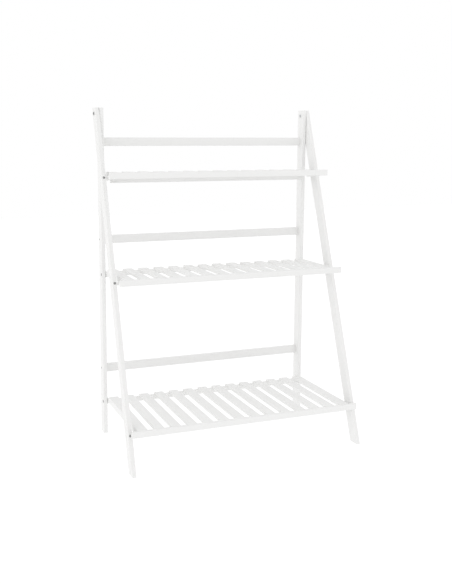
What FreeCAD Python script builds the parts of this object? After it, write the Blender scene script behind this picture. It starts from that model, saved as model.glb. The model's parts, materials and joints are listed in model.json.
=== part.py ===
import FreeCAD, Part
import math
import os
from collections import namedtuple
from FreeCAD import Vector

# Folding three-tier shelf stand: upright rear legs joined by back rails, leaning front legs that swing
# on a bolt at the top, and three slatted shelves that turn on the rear legs and rest on the front legs' pins.
# Millimetres, +X to the right, front at -Y, +Z up, origin on the floor at the middle of the footprint.

# Overall sizes
overall_width = 700.0
overall_height = 982.0

# Legs
leg_thickness = 12.0
leg_depth = 34.0
leg_edge_radius = 2.0
top_bolt_drop = 17.0
lean_degrees = 19.67

# Shelves: height of the front rail's top as a share of the whole, how far the rail stands ahead of the
# front legs' middle line there, how tall the rear rail is, and how high above the back rail's middle stands
top_shelf_height_share = 0.8137
middle_shelf_height_share = 0.5204
bottom_shelf_height_share = 0.1212
top_shelf_overhang = 86.5
middle_shelf_overhang = 78.5
bottom_shelf_overhang = 43.5
top_rear_rail_height = 26.0
lower_rear_rail_height = 12.0
top_back_rail_rise = 85.0
middle_back_rail_rise = 84.0
bottom_back_rail_rise = 81.0

# Shelf pieces
slat_count = 14
slat_width = 28.5
slat_thickness = 6.0
slat_edge_radius = 1.5
slat_lap = 7.0
deck_setback = 15.0
bearer_thickness = 12.0
bearer_height = 12.0
bearer_eye_radius = 9.0
front_rail_height = 18.0
front_rail_depth = 14.0
front_rail_lip = 2.0
front_rail_edge_radius = 2.0
front_rail_end_inset = 6.0
rear_rail_depth = 12.0
dowel_radius = 3.0
dowel_in_bearer = 10.0
dowel_in_rail = 5.0

# Back rails
back_rail_height = 25.0
back_rail_thickness = 12.0
back_rail_edge_radius = 2.0
back_rail_setback = 7.0

# Fasteners and pivots
bolt_radius = 3.0
bolt_head_radius = 5.5
flush_head_radius = 5.0
bolt_head_height = 3.0
washer_radius = 5.5
washer_thickness = 0.4
nut_radius = 5.0
nut_height = 3.0
nut_corner_count = 6
nut_engagement = 2.0
shelf_bolt_ahead = 10.0
rail_screw_radius = 2.0
rail_screw_head_radius = 3.2
rail_screw_head_height = 2.5
rail_screw_length = 38.0
rest_pin_radius = 4.0
rest_pin_ahead = 6.0
rest_pin_in_leg = 9.0
rest_pin_overhang = 1.0
rest_pin_chamfer = 1.0
pin_bolt_radius = 1.5
pin_bolt_head_radius = 3.8
pin_bolt_head_height = 1.6
running_clearance = 0.05
rest_clearance = 0.3
cut_overrun = 1.0

# Folding travel in degrees: the front legs swing back while the shelves turn up
leg_travel = 14.5
shelf_travel = 72.5
notch_steps_per_degree = 8

# Places that follow from the sizes: toe and tip of the front legs set the depth, the origin lies midway
lean = math.radians(lean_degrees)
top_bolt_z = overall_height - top_bolt_drop
toe_ahead = top_bolt_z * math.tan(lean) + leg_depth / 2 / math.cos(lean)
tip_behind = top_bolt_drop * math.tan(lean) + leg_depth / 2 / math.cos(lean)
rear_leg_y = (toe_ahead - tip_behind) / 2
front_leg_inner_x = overall_width / 2 - leg_thickness
rear_leg_outer_x = front_leg_inner_x - washer_thickness
rear_leg_inner_x = rear_leg_outer_x - leg_thickness
bearer_outer_x = rear_leg_inner_x - washer_thickness
bearer_inner_x = bearer_outer_x - bearer_thickness
shelf_bolt_y = rear_leg_y - shelf_bolt_ahead
deck_rear_y = rear_leg_y - leg_depth / 2 - deck_setback
back_rail_y = rear_leg_y + back_rail_setback

parts = {}
sides = (("left", -1), ("right", 1))


def leg_line_y(height, ahead):
    # a line along a front leg, set square to its axis by ahead
    return rear_leg_y - (top_bolt_z - height) * math.tan(lean) - ahead / math.cos(lean)


Shelf = namedtuple("Shelf", "name deck front_y rear_rail_height back_rail_level")


def shelf_row(name, height_share, overhang, rear_rail_height, back_rail_rise):
    # a shelf's name, the height of its front rail's top, the place of its front face, and its two rear rails
    deck = overall_height * height_share
    return Shelf(name, deck, leg_line_y(deck, 0) - overhang, rear_rail_height, deck + back_rail_rise)


shelves = (
    shelf_row("top", top_shelf_height_share, top_shelf_overhang, top_rear_rail_height, top_back_rail_rise),
    shelf_row("middle", middle_shelf_height_share, middle_shelf_overhang, lower_rear_rail_height,
              middle_back_rail_rise),
    shelf_row("bottom", bottom_shelf_height_share, bottom_shelf_overhang, lower_rear_rail_height,
              bottom_back_rail_rise),
)


def shoulder_of(shelf):
    # the plane the slats lie on
    return shelf.deck - front_rail_lip - slat_thickness


def bolt_level(shelf):
    # the bearer's lower edge, where the shelf bolt and the rest pin have their centres
    return shoulder_of(shelf) - bearer_height


def box(x_low, x_high, y_low, y_high, z_low, z_high):
    return Part.makeBox(x_high - x_low, y_high - y_low, z_high - z_low, Vector(x_low, y_low, z_low))


def across(side, near, far):
    # the two distances from the middle as an ascending pair of X places on one side
    return sorted((side * near, side * far))


def rod(x_start, x_end, y, z, radius):
    direction = Vector(math.copysign(1, x_end - x_start), 0, 0)
    return Part.makeCylinder(radius, abs(x_end - x_start), Vector(x_start, y, z), direction)


def plate(points, x_low, x_high):
    # a flat outline in the YZ plane, given thickness along X
    corners = [Vector(x_low, y, z) for y, z in points]
    return Part.Face(Part.makePolygon(corners + corners[:1])).extrude(Vector(x_high - x_low, 0, 0))


def round_long_edges(solid, direction, radius):
    # rounds every straight edge that runs along direction
    edges = []
    for edge in solid.Edges:
        run = edge.Vertexes[-1].Point - edge.Vertexes[0].Point
        if run.Length > 0 and abs(run.normalize().dot(direction)) > math.cos(math.radians(1)):
            edges.append(edge)
    return solid.makeFillet(radius, edges)


def turned(profile, x_seat, y, z, outward):
    # a solid of revolution about X from points of distance along the axis and radius
    points = [Vector(x_seat + outward * along, y, z + radius) for along, radius in profile]
    wire = Part.makePolygon(points + points[:1])
    return Part.Face(wire).revolve(Vector(x_seat, y, z), Vector(1, 0, 0), 360)


def dome(base, outward, radius, height):
    # a low rounded cap that stands on its base point towards outward
    ball_radius = (radius * radius + height * height) / (2 * height)
    rim = math.degrees(math.asin((ball_radius - height) / ball_radius))
    return Part.makeSphere(ball_radius, base + outward * (height - ball_radius), outward, rim, 90, 360)


def front_leg(side):
    half = leg_depth / 2
    outline = [
        (leg_line_y(0, half), 0),
        (leg_line_y(0, -half), 0),
        (leg_line_y(overall_height, -half), overall_height),
        (leg_line_y(overall_height, half), overall_height),
    ]
    x_low, x_high = across(side, front_leg_inner_x, overall_width / 2)
    leg = plate(outline, x_low, x_high)
    along = Vector(0, math.sin(lean), math.cos(lean))
    leg = round_long_edges(leg, along, leg_edge_radius)
    leg = leg.cut(rod(x_low - cut_overrun, x_high + cut_overrun, rear_leg_y, top_bolt_z,
                      bolt_radius + running_clearance))
    for shelf in shelves:
        leg = leg.cut(rest_pin(side, shelf, running_clearance))
        leg = leg.cut(pin_bolt(side, shelf, running_clearance))
    return leg


def rest_pin(side, shelf, clearance):
    # a wooden pin that stands out of the leg's inner face under the shelf's bearer
    level = bolt_level(shelf)
    y = leg_line_y(level, rest_pin_ahead)
    x_root = side * (front_leg_inner_x + rest_pin_in_leg + clearance)
    x_tip = side * (bearer_inner_x - rest_pin_overhang - clearance)
    pin = rod(x_root, x_tip, y, level, rest_pin_radius + clearance)
    rim = [edge for edge in pin.Edges if abs(edge.BoundBox.Center.x - x_tip) < running_clearance
           and edge.BoundBox.XLength < running_clearance]
    return pin.makeChamfer(rest_pin_chamfer, rim)


def pin_bolt(side, shelf, clearance):
    # round-headed bolt in the leg's front edge that holds the rest pin: its end stands at the pin's axis
    level = bolt_level(shelf)
    forward = Vector(0, -math.cos(lean), math.sin(lean))
    axis = Vector(side * (overall_width - leg_thickness) / 2, leg_line_y(level, rest_pin_ahead), level)
    reach = leg_depth / 2 - rest_pin_ahead
    shank = Part.makeCylinder(pin_bolt_radius + clearance, reach + clearance, axis - forward * clearance,
                              forward)
    if clearance:
        return shank
    return shank.fuse(dome(axis + forward * reach, forward, pin_bolt_head_radius, pin_bolt_head_height))


def rear_leg(side):
    x_low, x_high = across(side, rear_leg_inner_x, rear_leg_outer_x)
    half = leg_depth / 2
    leg = box(x_low, x_high, rear_leg_y - half, rear_leg_y + half, 0, overall_height)
    leg = round_long_edges(leg, Vector(0, 0, 1), leg_edge_radius)
    leg = leg.cut(rod(x_low - cut_overrun, x_high + cut_overrun, rear_leg_y, top_bolt_z,
                      bolt_radius + running_clearance))
    for shelf in shelves:
        leg = leg.cut(shelf_bolt(side, shelf, running_clearance))
        leg = leg.cut(rail_screw(side, shelf, running_clearance))
    return leg


def top_bolt(side):
    # round-headed bolt from the front leg's outer face to the nut inside the rear leg
    x_head = side * overall_width / 2
    x_end = side * (rear_leg_inner_x - nut_engagement)
    shank = rod(x_head, x_end, rear_leg_y, top_bolt_z, bolt_radius)
    seat = Vector(x_head, rear_leg_y, top_bolt_z)
    return shank.fuse(dome(seat, Vector(side, 0, 0), bolt_head_radius, bolt_head_height))


def hex_nut(x_seat, y, z, inward):
    # a six-sided cap nut, bored from its seat for the bolt's end
    turns = [2 * math.pi * number / nut_corner_count for number in range(nut_corner_count)]
    corners = [(y + nut_radius * math.cos(turn), z + nut_radius * math.sin(turn)) for turn in turns]
    nut = plate(corners, x_seat, x_seat + inward * nut_height)
    return nut.cut(rod(x_seat, x_seat + inward * (nut_engagement + running_clearance), y, z,
                       bolt_radius + running_clearance))


def washer(x_low, x_high, y, z):
    ring = rod(x_low, x_high, y, z, washer_radius)
    return ring.cut(rod(x_low - cut_overrun, x_high + cut_overrun, y, z, bolt_radius + running_clearance))


def countersunk(side, y, level, head_radius, head_height, radius, length, clearance):
    # flush-headed fastener driven in from the rear leg's outer face
    profile = [
        (0, 0),
        (0, head_radius + clearance),
        (head_height, radius + clearance),
        (length + clearance, radius + clearance),
        (length + clearance, 0),
    ]
    return turned(profile, side * rear_leg_outer_x, y, level, -side)


def shelf_bolt(side, shelf, clearance):
    length = rear_leg_outer_x - bearer_inner_x + nut_engagement
    return countersunk(side, shelf_bolt_y, bolt_level(shelf), flush_head_radius, bolt_head_height,
                       bolt_radius, length, clearance)


def rail_screw(side, shelf, clearance):
    return countersunk(side, back_rail_y, shelf.back_rail_level, rail_screw_head_radius,
                       rail_screw_head_height, rail_screw_radius, rail_screw_length, clearance)


def back_rail(shelf):
    level = shelf.back_rail_level
    half = back_rail_thickness / 2
    rail = box(-rear_leg_inner_x, rear_leg_inner_x, back_rail_y - half, back_rail_y + half,
               level - back_rail_height / 2, level + back_rail_height / 2)
    rail = round_long_edges(rail, Vector(1, 0, 0), back_rail_edge_radius)
    for side_name, side in sides:
        rail = rail.cut(rail_screw(side, shelf, running_clearance))
    return rail


def turn_about(y, z, centre_y, centre_z, angle):
    # a point turned about an axis along X, the front going up for a positive angle
    dy = y - centre_y
    dz = z - centre_z
    return (centre_y + dy * math.cos(angle) + dz * math.sin(angle),
            centre_z - dy * math.sin(angle) + dz * math.cos(angle))


def pin_seen_from_shelf(level, fold):
    # where the rest pin stands in the shelf's own frame after the legs have swung back by fold degrees
    y, z = turn_about(leg_line_y(level, rest_pin_ahead), level, rear_leg_y, top_bolt_z, -math.radians(fold))
    turn = math.radians(fold * shelf_travel / leg_travel)
    return turn_about(y, z, shelf_bolt_y, level, -turn)


def rest_notch(level, x_low, x_high):
    # the seat that lets the pin leave the bearer downwards: the pin's own path with clearance round it
    radius = rest_pin_radius + rest_clearance
    step = 0
    y, z = pin_seen_from_shelf(level, step)
    notch = rod(x_low, x_high, y, z, radius)
    while z > level - radius:
        step += 1
        next_y, next_z = pin_seen_from_shelf(level, step / notch_steps_per_degree)
        run = math.hypot(next_y - y, next_z - z)
        off_y = (next_z - z) / run * radius
        off_z = -(next_y - y) / run * radius
        slot = [(y + off_y, z + off_z), (next_y + off_y, next_z + off_z),
                (next_y - off_y, next_z - off_z), (y - off_y, z - off_z)]
        notch = notch.fuse([plate(slot, x_low, x_high), rod(x_low, x_high, next_y, next_z, radius)])
        y, z = next_y, next_z
    return notch


def bearer(side, shelf):
    # side bar under the slats, seated on the rest pin and swelling to a round eye at the rear bolt
    x_low, x_high = across(side, bearer_inner_x, bearer_outer_x)
    level = bolt_level(shelf)
    front = shelf.front_y + front_rail_depth
    outline = [
        (front, shoulder_of(shelf)),
        (deck_rear_y, shoulder_of(shelf)),
        (shelf_bolt_y, level + bearer_eye_radius),
        (shelf_bolt_y, level - bearer_eye_radius),
        (deck_rear_y, level),
        (front, level),
    ]
    body = plate(outline, x_low, x_high).fuse(rod(x_low, x_high, shelf_bolt_y, level, bearer_eye_radius))
    body = body.removeSplitter()
    body = body.cut(rod(x_low - cut_overrun, x_high + cut_overrun, shelf_bolt_y, level,
                        bolt_radius + running_clearance))
    body = body.cut(rest_notch(level, x_low - cut_overrun, x_high + cut_overrun))
    for dowel in dowels_of(side, shelf, running_clearance):
        body = body.cut(dowel)
    return body


def front_rail(shelf):
    # front edge with a step along its back that the slats lie in, its lip just above them
    back = shelf.front_y + front_rail_depth
    half = overall_width / 2 - front_rail_end_inset
    bottom = shelf.deck - front_rail_height
    outline = [
        (shelf.front_y, bottom),
        (back, bottom),
        (back, shoulder_of(shelf)),
        (back - slat_lap, shoulder_of(shelf)),
        (back - slat_lap, shelf.deck),
        (shelf.front_y, shelf.deck),
    ]
    rail = plate(outline, -half, half)
    edges = [edge for edge in rail.Edges if edge.BoundBox.XLength > half
             and abs(edge.BoundBox.Center.y - shelf.front_y) < running_clearance]
    rail = rail.makeFillet(front_rail_edge_radius, edges)
    for side_name, side in sides:
        for dowel in dowels_of(side, shelf, running_clearance):
            rail = rail.cut(dowel)
    return rail


def rear_rail(shelf):
    top = shoulder_of(shelf)
    rail = box(-bearer_inner_x, bearer_inner_x, deck_rear_y - rear_rail_depth, deck_rear_y,
               top - shelf.rear_rail_height, top)
    for side_name, side in sides:
        for dowel in dowels_of(side, shelf, running_clearance):
            rail = rail.cut(dowel)
    return rail


def dowels_of(side, shelf, clearance):
    # two dowels a side: one along Y into the front rail, one along X from the bearer into the rear rail
    shoulder = shoulder_of(shelf)
    radius = dowel_radius + clearance
    joint_y = shelf.front_y + front_rail_depth
    front_z = (shoulder + shelf.deck - front_rail_height) / 2
    x = side * (bearer_inner_x + bearer_thickness / 2)
    front_dowel = Part.makeCylinder(radius, dowel_in_rail + dowel_in_bearer + 2 * clearance,
                                    Vector(x, joint_y - dowel_in_rail - clearance, front_z), Vector(0, 1, 0))
    x_outer = side * (bearer_inner_x + bearer_thickness / 2 + clearance)
    x_inner = side * (bearer_inner_x - dowel_in_bearer - clearance)
    rear_dowel = rod(x_outer, x_inner, deck_rear_y - rear_rail_depth / 2, shoulder - bearer_height / 2,
                     radius)
    return front_dowel, rear_dowel


def slats_of(shelf):
    front = shelf.front_y + front_rail_depth - slat_lap
    top = shelf.deck - front_rail_lip
    pitch = (2 * bearer_outer_x - slat_width) / (slat_count - 1)
    slats = []
    for number in range(slat_count):
        x_low = -bearer_outer_x + number * pitch
        slat = box(x_low, x_low + slat_width, front, deck_rear_y, top - slat_thickness, top)
        edges = [edge for edge in slat.Edges if edge.BoundBox.XLength < running_clearance
                 and edge.BoundBox.ZLength < running_clearance
                 and edge.BoundBox.ZMax > top - slat_edge_radius]
        slats.append(slat.makeFillet(slat_edge_radius, edges))
    return Part.makeCompound(slats)


for side_name, side in sides:
    parts[side_name + "_front_leg"] = front_leg(side)
    parts[side_name + "_rear_leg"] = rear_leg(side)
    parts[side_name + "_rest_pins"] = Part.makeCompound(
        [rest_pin(side, shelf, 0).cut(pin_bolt(side, shelf, running_clearance)) for shelf in shelves])
    parts[side_name + "_pin_bolts"] = Part.makeCompound([pin_bolt(side, shelf, 0) for shelf in shelves])

for shelf in shelves:
    parts[shelf.name + "_back_rail"] = back_rail(shelf)
    parts[shelf.name + "_shelf_front_rail"] = front_rail(shelf)
    parts[shelf.name + "_shelf_rear_rail"] = rear_rail(shelf)
    parts[shelf.name + "_shelf_slats"] = slats_of(shelf)
    for side_name, side in sides:
        parts[shelf.name + "_shelf_" + side_name + "_bearer"] = bearer(side, shelf)
    parts[shelf.name + "_shelf_dowels"] = Part.makeCompound(
        [dowel for side_name, side in sides for dowel in dowels_of(side, shelf, 0)])

signs = [side for side_name, side in sides]
levels = [bolt_level(shelf) for shelf in shelves]
parts["top_bolts"] = Part.makeCompound([top_bolt(side) for side in signs])
parts["top_nuts"] = Part.makeCompound(
    [hex_nut(side * rear_leg_inner_x, rear_leg_y, top_bolt_z, -side) for side in signs])
parts["top_washers"] = Part.makeCompound(
    [washer(*across(side, rear_leg_outer_x, front_leg_inner_x), rear_leg_y, top_bolt_z) for side in signs])
parts["shelf_bolts"] = Part.makeCompound([shelf_bolt(side, shelf, 0) for side in signs for shelf in shelves])
parts["shelf_washers"] = Part.makeCompound(
    [washer(*across(side, bearer_outer_x, rear_leg_inner_x), shelf_bolt_y, level)
     for side in signs for level in levels])
parts["shelf_nuts"] = Part.makeCompound(
    [hex_nut(side * bearer_inner_x, shelf_bolt_y, level, -side) for side in signs for level in levels])
parts["back_rail_screws"] = Part.makeCompound(
    [rail_screw(side, shelf, 0) for side in signs for shelf in shelves])

os.makedirs("parts", exist_ok=True)
for node, shape in parts.items():
    shape.exportStep("parts/" + node + ".step")
print(len(parts), "nodes,", sum(len(shape.Solids) for shape in parts.values()), "solids, rear legs at",
      round(rear_leg_y, 3))
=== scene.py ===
import json
import math
import bpy
import numpy as np
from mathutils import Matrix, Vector


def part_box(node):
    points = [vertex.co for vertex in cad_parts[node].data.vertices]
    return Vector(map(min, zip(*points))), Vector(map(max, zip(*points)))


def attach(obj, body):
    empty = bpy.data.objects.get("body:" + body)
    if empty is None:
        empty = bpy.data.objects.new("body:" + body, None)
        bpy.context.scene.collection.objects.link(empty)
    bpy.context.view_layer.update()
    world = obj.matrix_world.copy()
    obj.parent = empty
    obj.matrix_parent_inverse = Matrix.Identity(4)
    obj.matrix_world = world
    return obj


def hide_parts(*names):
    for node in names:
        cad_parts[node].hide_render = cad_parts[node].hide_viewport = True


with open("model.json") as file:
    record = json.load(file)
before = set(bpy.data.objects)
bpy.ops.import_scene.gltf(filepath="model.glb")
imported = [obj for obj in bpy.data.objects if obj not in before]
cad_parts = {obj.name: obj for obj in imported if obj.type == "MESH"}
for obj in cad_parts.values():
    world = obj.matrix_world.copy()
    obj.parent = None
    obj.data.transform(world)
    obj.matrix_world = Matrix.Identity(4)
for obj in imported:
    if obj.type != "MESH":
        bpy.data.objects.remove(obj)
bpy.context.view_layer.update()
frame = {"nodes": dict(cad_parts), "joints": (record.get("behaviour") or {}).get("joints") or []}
nodes = frame["nodes"]
hinges = {joint["name"]: joint for joint in frame["joints"]}
shelfNames = ("top_shelf", "middle_shelf", "bottom_shelf")
print("frame loaded:", len(nodes), "nodes")


class Shade:
    # one socket in a material's nodes; sums and products written on it add Math nodes
    def __init__(self, tree, socket):
        self.tree = tree
        self.socket = socket

    def node(self, kind, settings=None, inputs=None, out=0):
        made = self.tree.nodes.new(kind)
        for name, value in (settings or {}).items():
            setattr(made, name, value)
        for name, value in (inputs or {}).items():
            if isinstance(value, Shade):
                self.tree.links.new(value.socket, made.inputs[name])
            else:
                made.inputs[name].default_value = value
        return Shade(self.tree, made.outputs[out])

    def math(self, operation, first, second=0.0):
        return self.node("ShaderNodeMath", {"operation": operation}, {0: first, 1: second})

    def __add__(self, other):
        return self.math("ADD", self, other)

    __radd__ = __add__

    def __mul__(self, other):
        return self.math("MULTIPLY", self, other)

    __rmul__ = __mul__

    def __sub__(self, other):
        return self.math("SUBTRACT", self, other)

    def __rsub__(self, other):
        return self.math("SUBTRACT", other, self)

    def __truediv__(self, other):
        return self.math("DIVIDE", self, other)

    def __rtruediv__(self, other):
        return self.math("DIVIDE", other, self)

    def __abs__(self):
        return self.math("ABSOLUTE", self)

    def floor(self):
        return self.math("FLOOR", self)

    def part(self):
        return self.math("FRACT", self)

    def within(self, near, far):
        # 1 up to near, falling smoothly to 0 at far
        return self.node("ShaderNodeMapRange", {"interpolation_type": "SMOOTHSTEP"},
                         {"Value": self, "From Min": near, "From Max": far, "To Min": 1.0, "To Max": 0.0})

    def mixed(self, first, second):
        # a colour from first to second by this value
        return self.node("ShaderNodeMix", {"data_type": "RGBA"}, {0: self, 6: first, 7: second}, 2)


def newMaterial(name):
    material = bpy.data.materials.new(name)
    material.use_nodes = True
    tree = material.node_tree
    tree.nodes.clear()
    shader = tree.nodes.new("ShaderNodeBsdfPrincipled")
    result = tree.nodes.new("ShaderNodeOutputMaterial")
    tree.links.new(shader.outputs[0], result.inputs["Surface"])
    place = tree.nodes.new("ShaderNodeTexCoord")
    return material, shader, Shade(tree, place.outputs["Object"])


def feed(shader, **sockets):
    for name, value in sockets.items():
        shader.id_data.links.new(value.socket, shader.inputs[name.replace("_", " ")])


paint = {
    "white": (0.846, 0.846, 0.841, 1),
    "shade": (0.796, 0.791, 0.776, 1),      # where fibres and nodes show through the coat
    "stripWidth": 0.0115,                   # laminated bamboo strips
    "seamWidth": 0.0004,
    "seamCore": 0.3,                        # share of the width at full strength
    "nodeSpacing": 0.26,                    # the plant's own nodes, at random along each strip
    "nodeWidth": 0.0022,
    "nodeCore": 0.2,
    "stripSeed": 3.7,
    "fibreScale": (9.0, 620.0),             # along and across the fibres
    "cloudScale": (5.0, 26.0),
    "stippleScale": 820.0,
    "nodeWave": 0.012,                      # nodes aren't ruled straight
    "boardTone": 0.22,                      # how much one slat may differ from the next
    "show": {"fibre": 0.34, "node": 0.3, "seam": 0.16, "strip": 0.12, "cloud": 0.16, "hidden": 0.12},
    "rise": {"fibre": 0.3, "stipple": 0.28, "seam": 0.4, "node": 0.45},
    "roughness": 0.42,
    "roughnessOf": {"fibre": 0.14, "cloud": 0.1},
    "gloss": 0.4,
    "bumpStrength": 0.55,
    "bumpDistance": 0.00022,
}


def paintedBamboo(name, along, lean=0.0, cell=None):
    # satin white over laminated bamboo; fibres, strip seams and nodes follow the along axis
    material, shader, place = newMaterial(name)
    if lean:
        place = place.node("ShaderNodeMapping", {"vector_type": "POINT"},
                           {"Vector": place, "Rotation": (lean, 0, 0)})
    axes = {axis: place.node("ShaderNodeSeparateXYZ", None, {0: place}, number)
            for number, axis in enumerate("xyz")}
    run = axes.pop(along)
    sideA, sideB = axes.values()
    join = lambda a, b, c: place.node("ShaderNodeCombineXYZ", None, {0: a, 1: b, 2: c})
    stretched = lambda scale: join(run * scale[0], sideA * scale[1], sideB * scale[1])
    fibre = place.node("ShaderNodeTexNoise", None, {
        "Vector": stretched(paint["fibreScale"]), "Scale": 1.0, "Detail": 3.0, "Roughness": 0.62})
    cloud = place.node("ShaderNodeTexNoise", None, {
        "Vector": stretched(paint["cloudScale"]), "Scale": 1.0, "Detail": 2.0})
    stipple = place.node("ShaderNodeTexNoise", None, {
        "Vector": place, "Scale": paint["stippleScale"], "Detail": 1.0})
    stripA = sideA / paint["stripWidth"]
    stripB = sideB / paint["stripWidth"]
    seed = place.node("ShaderNodeTexWhiteNoise", {"noise_dimensions": "3D"},
                      {"Vector": join(stripA.floor(), stripB.floor(), paint["stripSeed"])})
    wave = (cloud - 0.5) * paint["nodeWave"]
    fromNode = abs(((run + wave) / paint["nodeSpacing"] + seed).part() - 0.5) * paint["nodeSpacing"]
    nodeRing = fromNode.within(paint["nodeWidth"] * paint["nodeCore"], paint["nodeWidth"])
    seamA = (abs(stripA.part() - 0.5) * -1 + 0.5) * paint["stripWidth"]
    seam = seamA.within(paint["seamWidth"] * paint["seamCore"], paint["seamWidth"])
    show, rise, rough = paint["show"], paint["rise"], paint["roughnessOf"]
    tone = (fibre * show["fibre"] + nodeRing * show["node"] + seam * show["seam"] + seed * show["strip"]
            + cloud * show["cloud"] - show["hidden"])
    if cell:                                              # each slat is a board of its own
        board = ((axes["x"] - cell["start"]) / cell["pitch"]).floor()
        own = place.node("ShaderNodeTexWhiteNoise", {"noise_dimensions": "1D"}, {"W": board})
        tone = tone + own * paint["boardTone"] - paint["boardTone"] / 2
    height = fibre * rise["fibre"] + stipple * rise["stipple"] - seam * rise["seam"] + nodeRing * rise["node"]
    feed(shader,
         Base_Color=tone.mixed(paint["white"], paint["shade"]),
         Roughness=(fibre - 0.5) * rough["fibre"] + (cloud - 0.5) * rough["cloud"] + paint["roughness"],
         Normal=place.node("ShaderNodeBump", None, {
             "Strength": paint["bumpStrength"], "Distance": paint["bumpDistance"], "Height": height}))
    shader.inputs["Specular IOR Level"].default_value = paint["gloss"]
    return material


steel = {
    "dark": ((0.27, 0.27, 0.275, 1), (0.4, 0.398, 0.395, 1)),
    "zinc": ((0.27, 0.275, 0.28, 1), (0.43, 0.435, 0.44, 1)),
    # the lightest plating, for the cap nuts; the washers wear it partly as painted light against the shade of their
    # narrow gaps
    "bright": ((0.52, 0.53, 0.54, 1), (0.68, 0.69, 0.7, 1)),
    "patchScale": 420.0,
    "scratchScale": 2600.0,
    "scratchStretch": (0.12, 1.0, 0.2),
    "show": {"patch": 0.8, "scratch": 0.3, "hidden": 0.05},
    "rise": {"patch": 0.5},
    "roughness": {"dark": 0.3, "zinc": 0.26, "bright": 0.24},
    "roughnessOf": {"patch": 0.22, "scratch": 0.12},
    "metallic": 0.85,
    "bumpStrength": 0.4,
    "bumpDistance": 0.00008,
}


def fastenerSteel(name, plating):
    # plated skin: cloudy patches, fine scratches and a little roughness of their own
    material, shader, place = newMaterial(name)
    patches = place.node("ShaderNodeTexNoise", None, {"Vector": place, "Scale": steel["patchScale"], "Detail": 3.0})
    stretched = place.node("ShaderNodeMapping", None, {"Vector": place, "Scale": steel["scratchStretch"]})
    scratches = place.node("ShaderNodeTexNoise", None, {
        "Vector": stretched, "Scale": steel["scratchScale"], "Detail": 2.0})
    show, rough = steel["show"], steel["roughnessOf"]
    feed(shader,
         Base_Color=(patches * show["patch"] + scratches * show["scratch"] - show["hidden"]).mixed(*steel[plating]),
         Roughness=patches * rough["patch"] + scratches * rough["scratch"] + steel["roughness"][plating],
         Normal=place.node("ShaderNodeBump", None, {
             "Strength": steel["bumpStrength"], "Distance": steel["bumpDistance"],
             "Height": scratches + patches * steel["rise"]["patch"]}))
    shader.inputs["Metallic"].default_value = steel["metallic"]
    return material


dowelWood = {
    "pale": (0.62, 0.45, 0.26, 1),
    "deep": (0.48, 0.32, 0.17, 1),
    "fibreScale": 900.0,
    "roughness": 0.6,
    "roughnessOfFibre": 0.2,
    "bumpStrength": 0.4,
    "bumpDistance": 0.0001,
}


def bareBamboo(name):
    # unpainted dowels: long fibres, dry surface
    material, shader, place = newMaterial(name)
    fibre = place.node("ShaderNodeTexNoise", None, {
        "Vector": place, "Scale": dowelWood["fibreScale"], "Detail": 3.0})
    feed(shader,
         Base_Color=fibre.mixed(dowelWood["pale"], dowelWood["deep"]),
         Roughness=fibre * dowelWood["roughnessOfFibre"] + dowelWood["roughness"],
         Normal=place.node("ShaderNodeBump", None, {
             "Strength": dowelWood["bumpStrength"], "Distance": dowelWood["bumpDistance"], "Height": fibre}))
    return material


footY = [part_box("left_front_leg")[0].y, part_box("left_front_leg")[1].y]
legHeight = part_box("left_front_leg")[1].z
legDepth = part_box("left_rear_leg")[1].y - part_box("left_rear_leg")[0].y
# the lean is the angle where the leg's run plus its slanted width fills its box, found by going round
leanSearch = {"start": 0.3, "rounds": 20}
leanAngle = leanSearch["start"]
for guess in range(leanSearch["rounds"]):
    leanAngle = math.atan((footY[1] - footY[0] - legDepth / math.cos(leanAngle)) / legHeight)
slatLow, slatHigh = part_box("top_shelf_slats")
slatBoards = {"count": 14, "width": 0.0285, "start": slatLow.x}
slatBoards["pitch"] = (slatHigh.x - slatLow.x - slatBoards["width"]) / (slatBoards["count"] - 1)

finishes = {
    "upright": paintedBamboo("uprightPaint", "z"),
    "leaning": paintedBamboo("leaningPaint", "z", lean=leanAngle),
    "crosswise": paintedBamboo("crossRailPaint", "x"),
    "depthwise": paintedBamboo("bearerPaint", "y"),
    "slats": paintedBamboo("slatPaint", "y", cell=slatBoards),
    "dark": fastenerSteel("darkOxideSteel", "dark"),
    "zinc": fastenerSteel("zincSteel", "zinc"),
    "bright": fastenerSteel("brightSteel", "bright"),
    "dowels": bareBamboo("dowelBamboo"),
}
finishOfEnding = {
    "rear_leg": "upright", "front_leg": "leaning", "rail": "crosswise", "bearer": "depthwise", "slats": "slats",
    # the washers take the lightest steel partly as painted light, lifting them out of the shade of the narrow gaps
    # they sit in
    "pins": "crosswise", "bolts": "dark", "nuts": "bright", "screws": "zinc", "washers": "bright",
    "dowels": "dowels",
}
for nodeName, piece in nodes.items():
    ending = next(end for end in finishOfEnding if nodeName.endswith(end))
    piece.data.materials.clear()
    piece.data.materials.append(finishes[finishOfEnding[ending]])
print("paint and steel on", len(nodes), "nodes, lean", round(math.degrees(leanAngle), 2))


turning = {"steps": 48, "pole": 0.0001, "middle": 0.02, "sharpDegrees": 32}


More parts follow.
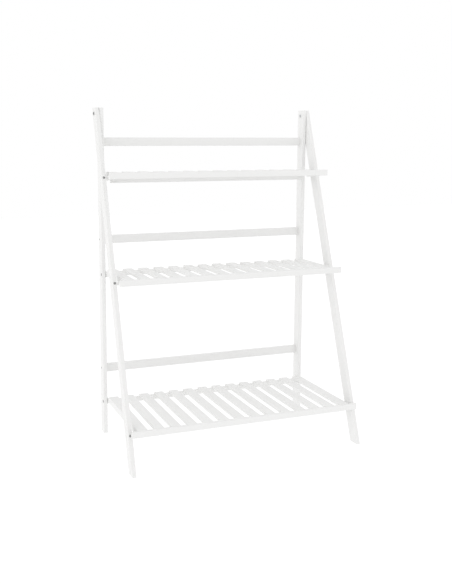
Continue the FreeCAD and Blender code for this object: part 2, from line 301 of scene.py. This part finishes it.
def turnedMesh(name, reach, radius, places, outward):
    # a profile carried round an axis: reach and radius are grids of rows along the profile by steps round it;
    # point = place + reach times outward + radius (cos turn times across + sin turn times outward x across)
    rows, steps = radius.shape
    turn = np.arange(steps) * 2 * np.pi / steps
    row, step = np.meshgrid(np.arange(rows - 1), np.arange(steps), indexing="ij")
    after = (step + 1) % steps
    near, far = row * steps, (row + 1) * steps
    quads = np.stack([near + step, near + after, far + after, far + step], -1).reshape(-1, 4)
    caps = np.stack([np.arange(steps)[::-1], np.arange(steps) + (rows - 1) * steps])    # close both ends
    points, faces = [], []
    for number, (place, axis) in enumerate(zip(places, np.asarray(outward, float))):
        across = np.array((0.0, 1.0, 0.0) if axis[0] else (1.0, 0.0, 0.0))
        spread = [radius * np.cos(turn), radius * np.sin(turn)]
        grid = np.asarray(place) + np.stack([reach] + spread, -1) @ np.stack([axis, across, np.cross(axis, across)])
        points.append(grid.reshape(-1, 3))
        first = number * rows * steps
        faces += (quads + first).tolist() + (caps + first).tolist()
    mesh = bpy.data.meshes.new(name)
    mesh.from_pydata(np.concatenate(points).tolist(), [], faces)
    mesh.update()
    piece = bpy.data.objects.new(name, mesh)
    bpy.context.scene.collection.objects.link(piece)
    return piece


def sixSided(across, turn):
    # distance from the middle to the side of a six-sided shape of that width across its flats
    return across / 2 / np.cos((turn + np.pi / 6) % (np.pi / 3) - np.pi / 6)


def crossShaped(arm, root, turn):
    # distance from the middle to the edge of a four-armed recess with rounded arms:
    # root + (arm - root) times the size of cos (twice the turn), raised to a power that makes the arms narrow
    narrow = 6
    return root + (arm - root) * np.abs(np.cos(2 * turn)) ** narrow


def driveRows(mouth, depth, taper, reach):
    # a recess in a head, its mouth at reach: the tapered floor, depth further in, and the floor's middle
    return [(reach - depth, mouth * taper), (reach - depth, mouth * turning["middle"])]


def settle(piece, body, node, finish):
    piece.data.materials.append(finishes[finish])
    piece.data.polygons.foreach_set("use_smooth", np.ones(len(piece.data.polygons), bool))
    piece.data.set_sharp_from_angle(angle=math.radians(turning["sharpDegrees"]))
    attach(piece, body)
    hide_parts(node)


def gridOf(profile):
    # rows of (reach, radius), either of them one number or one for each step round
    reach = np.stack([np.broadcast_to(np.asarray(a, float), turning["steps"]) for a, r in profile])
    radius = np.stack([np.broadcast_to(np.asarray(r, float), turning["steps"]) for a, r in profile])
    return reach, radius


around = np.arange(turning["steps"]) * 2 * np.pi / turning["steps"]
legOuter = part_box("right_front_leg")[1].x
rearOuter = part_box("right_rear_leg")[1].x
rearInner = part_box("right_rear_leg")[0].x
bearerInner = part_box("top_shelf_right_bearer")[0].x
topSpots = [Vector(hinges[side + "_leg_fold"]["pos_m"]) for side in ("left", "right")]
shelfSpots = [Vector(hinges[name + "_tilt"]["pos_m"]) for name in shelfNames]
sides = (("left", -1), ("right", 1))
signs = (-1, 1)
outer = [(sign, 0, 0) for sign in signs]
outerOfShelves = [(sign, 0, 0) for sign in signs for spot in shelfSpots]

roundShape = {"tip": 0.8, "tipLength": 0.0006, "rings": 9, "taper": 0.92}


def roundHead(name, size, length, places, outward):
    # button head: an arc from the rim to the socket's mouth, then a six-sided socket
    ball = (size["head"] ** 2 + size["rise"] ** 2) / (2 * size["rise"])
    crown = lambda r: np.sqrt(ball ** 2 - r ** 2) + size["rise"] - ball
    mouth = sixSided(size["socket"], around)
    rings = [size["head"] + (mouth - size["head"]) * share for share in np.linspace(0, 1, roundShape["rings"])]
    profile = [(-length, turning["pole"]), (-length, size["shank"] * roundShape["tip"]),
               (-length + roundShape["tipLength"], size["shank"]), (0, size["shank"]), (0, size["head"])]
    profile += [(crown(r), r) for r in rings[1:]]
    profile += driveRows(mouth, size["socketDepth"], roundShape["taper"], crown(mouth))
    return turnedMesh(name, *gridOf(profile), places, outward)


topBolt = {"shank": 0.003, "head": 0.0055, "rise": 0.003, "socket": 0.004, "socketDepth": 0.0018,
           "engage": 0.002}


def makeTopBolts():
    places = [(sign * legOuter, spot.y, spot.z) for sign, spot in zip(signs, topSpots)]
    piece = roundHead("topBolts", topBolt, legOuter - rearInner + topBolt["engage"], places, outer)
    settle(piece, "rear_frame", "top_bolts", "dark")


pinBolt = {"shank": 0.0015, "head": 0.0038, "rise": 0.0016, "socket": 0.0025, "socketDepth": 0.001,
           "pinAhead": 0.006}


def makePinBolts(side, sign):
    # square to the leaning leg's front edge, each in line with its rest pin
    forward = Vector((0, -math.cos(leanAngle), math.sin(leanAngle)))
    reach = legDepth / 2 - pinBolt["pinAhead"]
    legMiddle = sign * (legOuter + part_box("right_front_leg")[0].x) / 2
    top = topSpots[0]
    places = []
    for spot in shelfSpots:
        pinY = top.y - (top.z - spot.z) * math.tan(leanAngle) - pinBolt["pinAhead"] / math.cos(leanAngle)
        places.append(Vector((legMiddle, pinY, spot.z)) + forward * reach)
    piece = roundHead(side + "PinBolts", pinBolt, reach, places, [forward] * len(places))
    settle(piece, side + "_leg", side + "_pin_bolts", "dark")


flushShape = {
    "tip": 0.7, "tipLength": 0.001, "taper": 0.8,
    "rim": ((-0.0003, 0.0002), (-0.0001, 0.0001), (0.0, 0.0004)),    # reach, and how far inside the head's edge
    "lip": 1.06, "lipDrop": 0.0002,                                  # the recess's soft mouth
}


def flushHead(name, size, length, mouth, depth, places, outward):
    # flat countersunk head with a soft rim and a driving recess
    profile = [(-length, turning["pole"]), (-length, size["shank"] * flushShape["tip"]),
               (-length + flushShape["tipLength"], size["shank"]), (-size["sink"], size["shank"])]
    profile += [(reach, size["head"] - inset) for reach, inset in flushShape["rim"]]
    profile += [(0.0, mouth * flushShape["lip"]), (-flushShape["lipDrop"], mouth)]
    profile += driveRows(mouth, depth, flushShape["taper"], 0.0)
    return turnedMesh(name, *gridOf(profile), places, outward)


flushBolt = {"shank": 0.003, "head": 0.005, "sink": 0.003, "socket": 0.004, "socketDepth": 0.0022,
             "engage": 0.002}


def makeShelfBolts():
    places = [(sign * rearOuter, spot.y, spot.z) for sign in signs for spot in shelfSpots]
    length = rearOuter - bearerInner + flushBolt["engage"]
    piece = flushHead("shelfBolts", flushBolt, length, sixSided(flushBolt["socket"], around),
                      flushBolt["socketDepth"], places, outerOfShelves)
    settle(piece, "rear_frame", "shelf_bolts", "dark")


railScrew = {"shank": 0.002, "head": 0.0032, "sink": 0.0025, "arm": 0.002, "root": 0.0007,
             "recessDepth": 0.0012, "length": 0.038}


def makeRailScrews():
    middles = [sum(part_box(name.replace("shelf", "back_rail")), Vector()) / 2 for name in shelfNames]
    places = [(sign * rearOuter, middle.y, middle.z) for sign in signs for middle in middles]
    piece = flushHead("railScrews", railScrew, railScrew["length"],
                      crossShaped(railScrew["arm"], railScrew["root"], around), railScrew["recessDepth"],
                      places, outerOfShelves)
    settle(piece, "rear_frame", "back_rail_screws", "zinc")


capNut = {
    "corner": 0.005, "height": 0.003, "chamfer": 0.0006, "bore": 0.00305, "boreDepth": 0.00205,
    "roundOff": 1.02, "cornerSlope": 0.6,               # how the turned chamfer cuts the corners
    "shoulder": 0.93, "crown": 0.86, "crownDrop": 0.7, "crownShares": (0.9, 0.7, 0.45, 0.2, 0.02),
}


def makeNuts(name, node, places, outward):
    # six-sided cap nut: sides, a turned chamfer that rounds the corners, a low crown,
    # and the blind bore on its seat
    flats = capNut["corner"] * math.cos(math.pi / 6) * 2
    side = sixSided(flats, around + np.pi / 6)             # a corner towards the front, as on the node
    ring = np.minimum(side, flats / 2 * capNut["roundOff"])
    cut = (side - ring) * capNut["cornerSlope"]
    edge = capNut["height"] - capNut["chamfer"]
    drop = capNut["chamfer"] * capNut["crownDrop"]
    profile = [(capNut["boreDepth"], turning["pole"]), (capNut["boreDepth"], capNut["bore"]), (0, capNut["bore"]),
               (0, ring), (cut, side), (edge - cut, side), (edge, ring),
               (capNut["height"] - drop, ring * capNut["shoulder"])]
    profile += [(capNut["height"] - drop * share ** 2, ring * capNut["crown"] * share)
                for share in capNut["crownShares"]]
    piece = turnedMesh(name, *gridOf(profile), places, outward)
    settle(piece, "rear_frame", node, "bright")


makeTopBolts()
for side, sign in sides:
    makePinBolts(side, sign)
makeShelfBolts()
makeRailScrews()
makeNuts("topNuts", "top_nuts", [(sign * rearInner, spot.y, spot.z) for sign, spot in zip(signs, topSpots)],
         [(-sign, 0, 0) for sign in signs])
makeNuts("shelfNuts", "shelf_nuts", [(sign * bearerInner, spot.y, spot.z) for sign in signs for spot in shelfSpots],
         [(-sign, 0, 0) for sign in signs for spot in shelfSpots])
print("bolts, screws and nuts turned")

studio = {
    "floorSize": 14.0, "floorWhite": 0.1, "floorGlow": 0.93, "floorRoughness": 0.8,
    "skyStrength": 1.0,
    "keyStrength": 0.22, "keySpread": 1.2, "keyFrom": (-1.0, -0.05, 0.2),
}


def makeFloor():
    # a flat square sheet at height 0, four corners, lit from within so that it stays white under the stand
    half = studio["floorSize"] / 2
    mesh = bpy.data.meshes.new("floor")
    mesh.from_pydata([(-half, -half, 0), (half, -half, 0), (half, half, 0), (-half, half, 0)], [], [(0, 1, 2, 3)])
    floor = bpy.data.objects.new("floor", mesh)
    bpy.context.scene.collection.objects.link(floor)
    material, shader = newMaterial("floorPaint")[:2]
    shader.inputs["Base Color"].default_value = (studio["floorWhite"],) * 3 + (1,)
    shader.inputs["Roughness"].default_value = studio["floorRoughness"]
    shader.inputs["Emission Color"].default_value = (1, 1, 1, 1)
    shader.inputs["Emission Strength"].default_value = studio["floorGlow"]
    mesh.materials.append(material)


def makeLight():
    world = bpy.data.worlds.new("studioSky")
    bpy.context.scene.world = world
    world.use_nodes = True
    sky = next(node for node in world.node_tree.nodes if node.type == "BACKGROUND")
    sky.inputs["Color"].default_value = (1, 1, 1, 1)
    sky.inputs["Strength"].default_value = studio["skyStrength"]
    key = bpy.data.lights.new("key", "SUN")
    key.energy = studio["keyStrength"]
    key.angle = studio["keySpread"]
    lamp = bpy.data.objects.new("key", key)
    lamp.rotation_euler = Vector(studio["keyFrom"]).to_track_quat("Z", "Y").to_euler()
    bpy.context.scene.collection.objects.link(lamp)


lens = {"eye": (-0.9103, -2.1202, 0.8856), "down": 8.03, "yaw": 20.21, "focal": 48.93, "sensor": 36,
        "shiftX": 0.07, "shiftY": -0.0666}


def makeCamera():
    camera = bpy.data.cameras.new("photoView")
    camera.lens = lens["focal"]
    camera.sensor_width = lens["sensor"]
    camera.shift_x = lens["shiftX"]
    camera.shift_y = lens["shiftY"]
    holder = bpy.data.objects.new("photoView", camera)
    holder.location = lens["eye"]
    holder.rotation_euler = (math.radians(90 - lens["down"]), 0, -math.radians(lens["yaw"]))
    bpy.context.scene.collection.objects.link(holder)
    bpy.context.scene.camera = holder


makeFloor()
makeLight()
makeCamera()
bpy.context.scene.view_settings.view_transform = "Standard"
print("floor, light and camera set")

bpy.context.view_layer.update()
